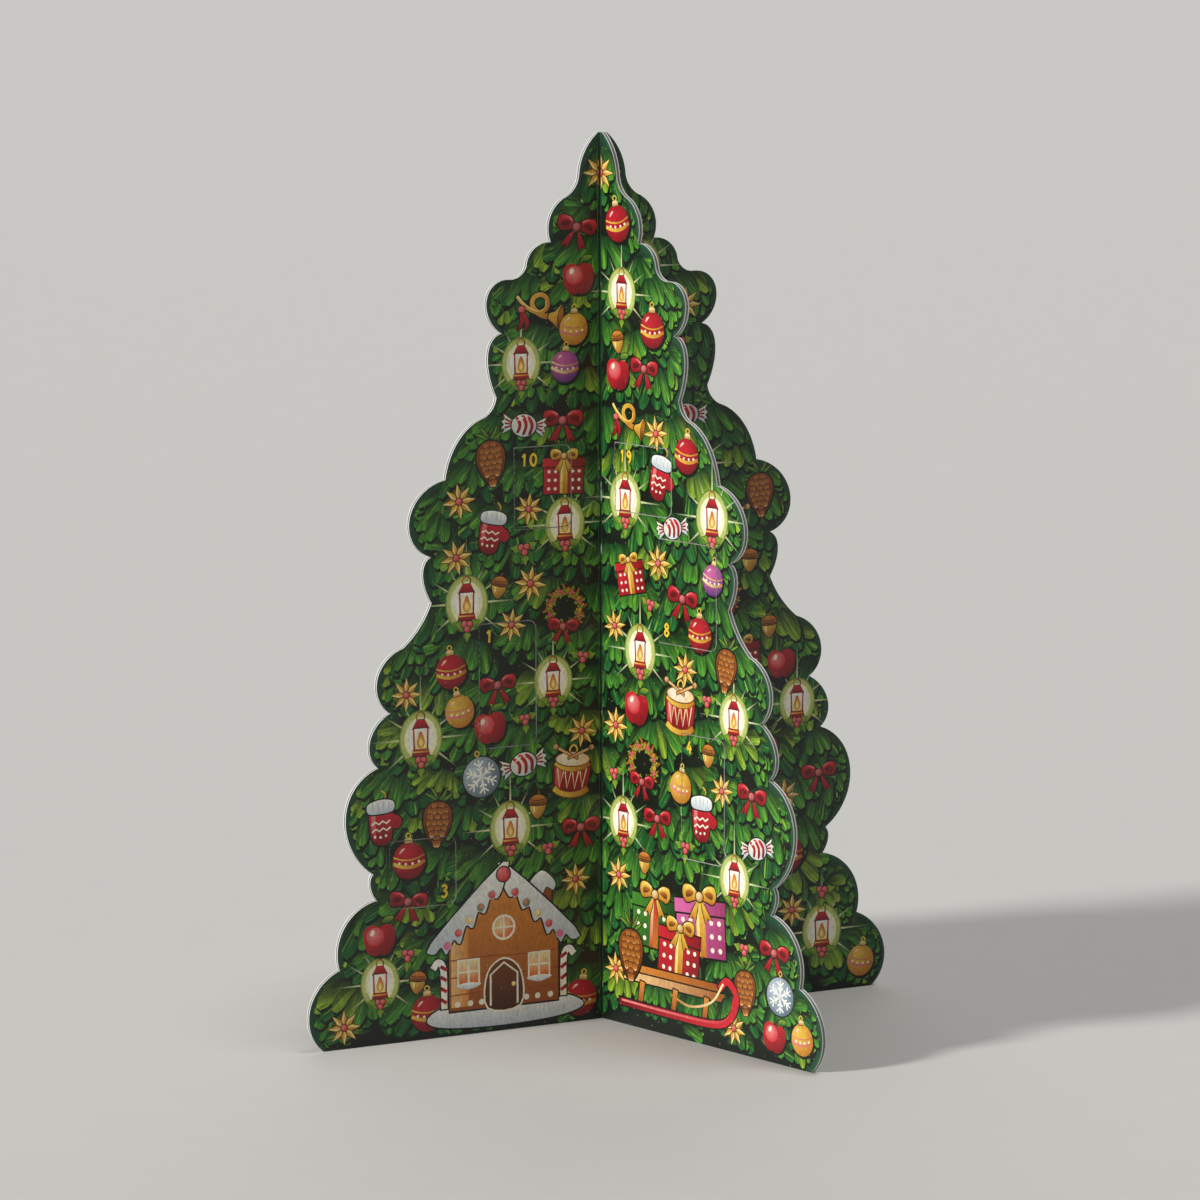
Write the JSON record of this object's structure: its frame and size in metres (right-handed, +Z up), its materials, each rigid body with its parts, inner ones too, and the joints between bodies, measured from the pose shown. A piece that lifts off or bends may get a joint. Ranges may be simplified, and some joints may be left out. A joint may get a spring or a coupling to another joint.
{
  "type": "stand-up advent calendar",
  "caption": "Free-standing tree-shaped advent calendar: scalloped cardboard pages folded at one spine, with hinged doors over small pictures; folds flat for storage.",
  "frame": {"origin": "on the table under the spine, where the pages fold", "axes": "+Z up along the spine, -Y out of the middle of the front page, +X to its right"},
  "size_m": [0.1904, 0.1526, 0.33],
  "materials": {
    "printed_sheet": "coated board printed in greens, reds and gold, satin to glossy",
    "printed_door": "coated printed board, plain uncoated back",
    "picture_sheet": "printed paper board, satin",
    "glue_film": "dried clear glue on board",
    "creased_sheet": "coated print, cracked white along the fold"
  },
  "bodies": {
    "front_left_fin": {"front_page_left": "printed_sheet", "left_page_right": "printed_sheet", "front_picture_left": "picture_sheet", "left_picture_right": "picture_sheet", "fin_glue_1": "glue_film", "front_crease": "creased_sheet"},
    "front_right_fin": {"right_page_left": "printed_sheet", "front_page_right": "printed_sheet", "right_picture_left": "picture_sheet", "front_picture_right": "picture_sheet", "fin_glue_2": "glue_film", "right_crease": "creased_sheet"},
    "back_right_fin": {"back_page_left": "printed_sheet", "right_page_right": "printed_sheet", "back_picture_left": "picture_sheet", "right_picture_right": "picture_sheet", "fin_glue_3": "glue_film", "back_crease": "creased_sheet"},
    "back_left_fin": {"left_page_left": "printed_sheet", "back_page_right": "printed_sheet", "left_picture_left": "picture_sheet", "back_picture_right": "picture_sheet", "fin_glue_4": "glue_film", "left_crease": "creased_sheet"},
    "door_10": {"door_10": "printed_door"},
    "door_1": {"door_1": "printed_door"},
    "door_3": {"door_3": "printed_door"},
    "door_19": {"door_19": "printed_door"},
    "door_8": {"door_8": "printed_door"},
    "door_4": {"door_4": "printed_door"},
    "door_22": {"door_22": "printed_door"},
    "door_13": {"door_13": "printed_door"},
    "door_6": {"door_6": "printed_door"},
    "door_16": {"door_16": "printed_door"},
    "door_2": {"door_2": "printed_door"},
    "door_11": {"door_11": "printed_door"},
    "door_7": {"door_7": "printed_door"},
    "door_20": {"door_20": "printed_door"},
    "door_14": {"door_14": "printed_door"},
    "door_24": {"door_24": "printed_door"},
    "door_5": {"door_5": "printed_door"},
    "door_17": {"door_17": "printed_door"},
    "door_12": {"door_12": "printed_door"},
    "door_23": {"door_23": "printed_door"},
    "door_9": {"door_9": "printed_door"},
    "door_18": {"door_18": "printed_door"},
    "door_15": {"door_15": "printed_door"},
    "door_21": {"door_21": "printed_door"}
  },
  "joints": [
    {"name": "front_fold", "type": "hinge", "parent": "front_left_fin", "child": "front_right_fin", "pos_m": [0, -0.00172, 0], "axis": [0, 0, -1], "range_deg": [-69, 0]},
    {"name": "right_fold", "type": "hinge", "parent": "front_right_fin", "child": "back_right_fin", "pos_m": [0.00137, 0, 0], "axis": [0, 0, -1], "range_deg": [0, 69]},
    {"name": "back_fold", "type": "hinge", "parent": "back_right_fin", "child": "back_left_fin", "pos_m": [0, 0.00172, 0], "axis": [0, 0, -1], "range_deg": [-69, 0]},
    {"name": "door_10_hinge", "type": "hinge", "parent": "front_left_fin", "child": "door_10", "pos_m": [-0.02788, -0.0237, 0.2013], "axis": [0, 0, -1], "range_deg": [0, 170]},
    {"name": "door_1_hinge", "type": "hinge", "parent": "front_left_fin", "child": "door_1", "pos_m": [-0.03943, -0.03289, 0.12936], "axis": [0, 0, -1], "range_deg": [0, 170]},
    {"name": "door_3_hinge", "type": "hinge", "parent": "front_left_fin", "child": "door_3", "pos_m": [-0.06822, -0.05579, 0.06237], "axis": [0, 0, -1], "range_deg": [0, 170]},
    {"name": "door_19_hinge", "type": "hinge", "parent": "front_right_fin", "child": "door_19", "pos_m": [0.00618, -0.00645, 0.2046], "axis": [0, 0, -1], "range_deg": [0, 110]},
    {"name": "door_8_hinge", "type": "hinge", "parent": "front_right_fin", "child": "door_8", "pos_m": [0.02534, -0.02169, 0.165], "axis": [0, 0, -1], "range_deg": [0, 165]},
    {"name": "door_4_hinge", "type": "hinge", "parent": "front_right_fin", "child": "door_4", "pos_m": [0.03504, -0.02941, 0.09075], "axis": [0, 0, -1], "range_deg": [0, 170]},
    {"name": "door_22_hinge", "type": "hinge", "parent": "front_right_fin", "child": "door_22", "pos_m": [0.03278, -0.02517, 0.20625], "axis": [0, 0, -1], "range_deg": [0, 170]},
    {"name": "door_13_hinge", "type": "hinge", "parent": "front_right_fin", "child": "door_13", "pos_m": [0.04827, -0.0375, 0.14685], "axis": [0, 0, -1], "range_deg": [0, 170]},
    {"name": "door_6_hinge", "type": "hinge", "parent": "front_right_fin", "child": "door_6", "pos_m": [0.06788, -0.05309, 0.05775], "axis": [0, 0, -1], "range_deg": [0, 170]},
    {"name": "door_16_hinge", "type": "hinge", "parent": "back_right_fin", "child": "door_16", "pos_m": [0.01482, 0.01089, 0.2013], "axis": [0, 0, -1], "range_deg": [0, 110]},
    {"name": "door_2_hinge", "type": "hinge", "parent": "back_right_fin", "child": "door_2", "pos_m": [0.02014, 0.01512, 0.12705], "axis": [0, 0, -1], "range_deg": [0, 115]},
    {"name": "door_11_hinge", "type": "hinge", "parent": "back_right_fin", "child": "door_11", "pos_m": [0.04256, 0.03295, 0.06435], "axis": [0, 0, -1], "range_deg": [0, 170]},
    {"name": "door_7_hinge", "type": "hinge", "parent": "back_right_fin", "child": "door_7", "pos_m": [0.03018, 0.02554, 0.2079], "axis": [0, 0, -1], "range_deg": [0, 170]},
    {"name": "door_20_hinge", "type": "hinge", "parent": "back_right_fin", "child": "door_20", "pos_m": [0.05042, 0.04163, 0.15675], "axis": [0, 0, -1], "range_deg": [0, 170]},
    {"name": "door_14_hinge", "type": "hinge", "parent": "back_right_fin", "child": "door_14", "pos_m": [0.05448, 0.04487, 0.0693], "axis": [0, 0, -1], "range_deg": [0, 170]},
    {"name": "door_24_hinge", "type": "hinge", "parent": "back_left_fin", "child": "door_24", "pos_m": [-0.01997, 0.01742, 0.0792], "axis": [0, 0, -1], "range_deg": [0, 135]},
    {"name": "door_5_hinge", "type": "hinge", "parent": "back_left_fin", "child": "door_5", "pos_m": [-0.02917, 0.02473, 0.1617], "axis": [0, 0, -1], "range_deg": [0, 170]},
    {"name": "door_17_hinge", "type": "hinge", "parent": "back_left_fin", "child": "door_17", "pos_m": [-0.00851, 0.0083, 0.2046], "axis": [0, 0, -1], "range_deg": [0, 115]},
    {"name": "door_12_hinge", "type": "hinge", "parent": "back_left_fin", "child": "door_12", "pos_m": [-0.03184, 0.02443, 0.20295], "axis": [0, 0, -1], "range_deg": [0, 170]},
    {"name": "door_23_hinge", "type": "hinge", "parent": "back_left_fin", "child": "door_23", "pos_m": [-0.05755, 0.04488, 0.1353], "axis": [0, 0, -1], "range_deg": [0, 170]},
    {"name": "door_9_hinge", "type": "hinge", "parent": "back_left_fin", "child": "door_9", "pos_m": [-0.06193, 0.04836, 0.05115], "axis": [0, 0, -1], "range_deg": [0, 170]},
    {"name": "door_18_hinge", "type": "hinge", "parent": "front_left_fin", "child": "door_18", "pos_m": [-0.01157, -0.0083, 0.2079], "axis": [0, 0, -1], "range_deg": [0, 95]},
    {"name": "door_15_hinge", "type": "hinge", "parent": "front_left_fin", "child": "door_15", "pos_m": [-0.02472, -0.01876, 0.1419], "axis": [0, 0, -1], "range_deg": [0, 155]},
    {"name": "door_21_hinge", "type": "hinge", "parent": "front_left_fin", "child": "door_21", "pos_m": [-0.04725, -0.03669, 0.0627], "axis": [0, 0, -1], "range_deg": [0, 170]}
  ],
  "couplings": [
    {"joint": "right_fold", "follows": "front_fold", "ratio": -1},
    {"joint": "back_fold", "follows": "front_fold", "ratio": 1}
  ]
}
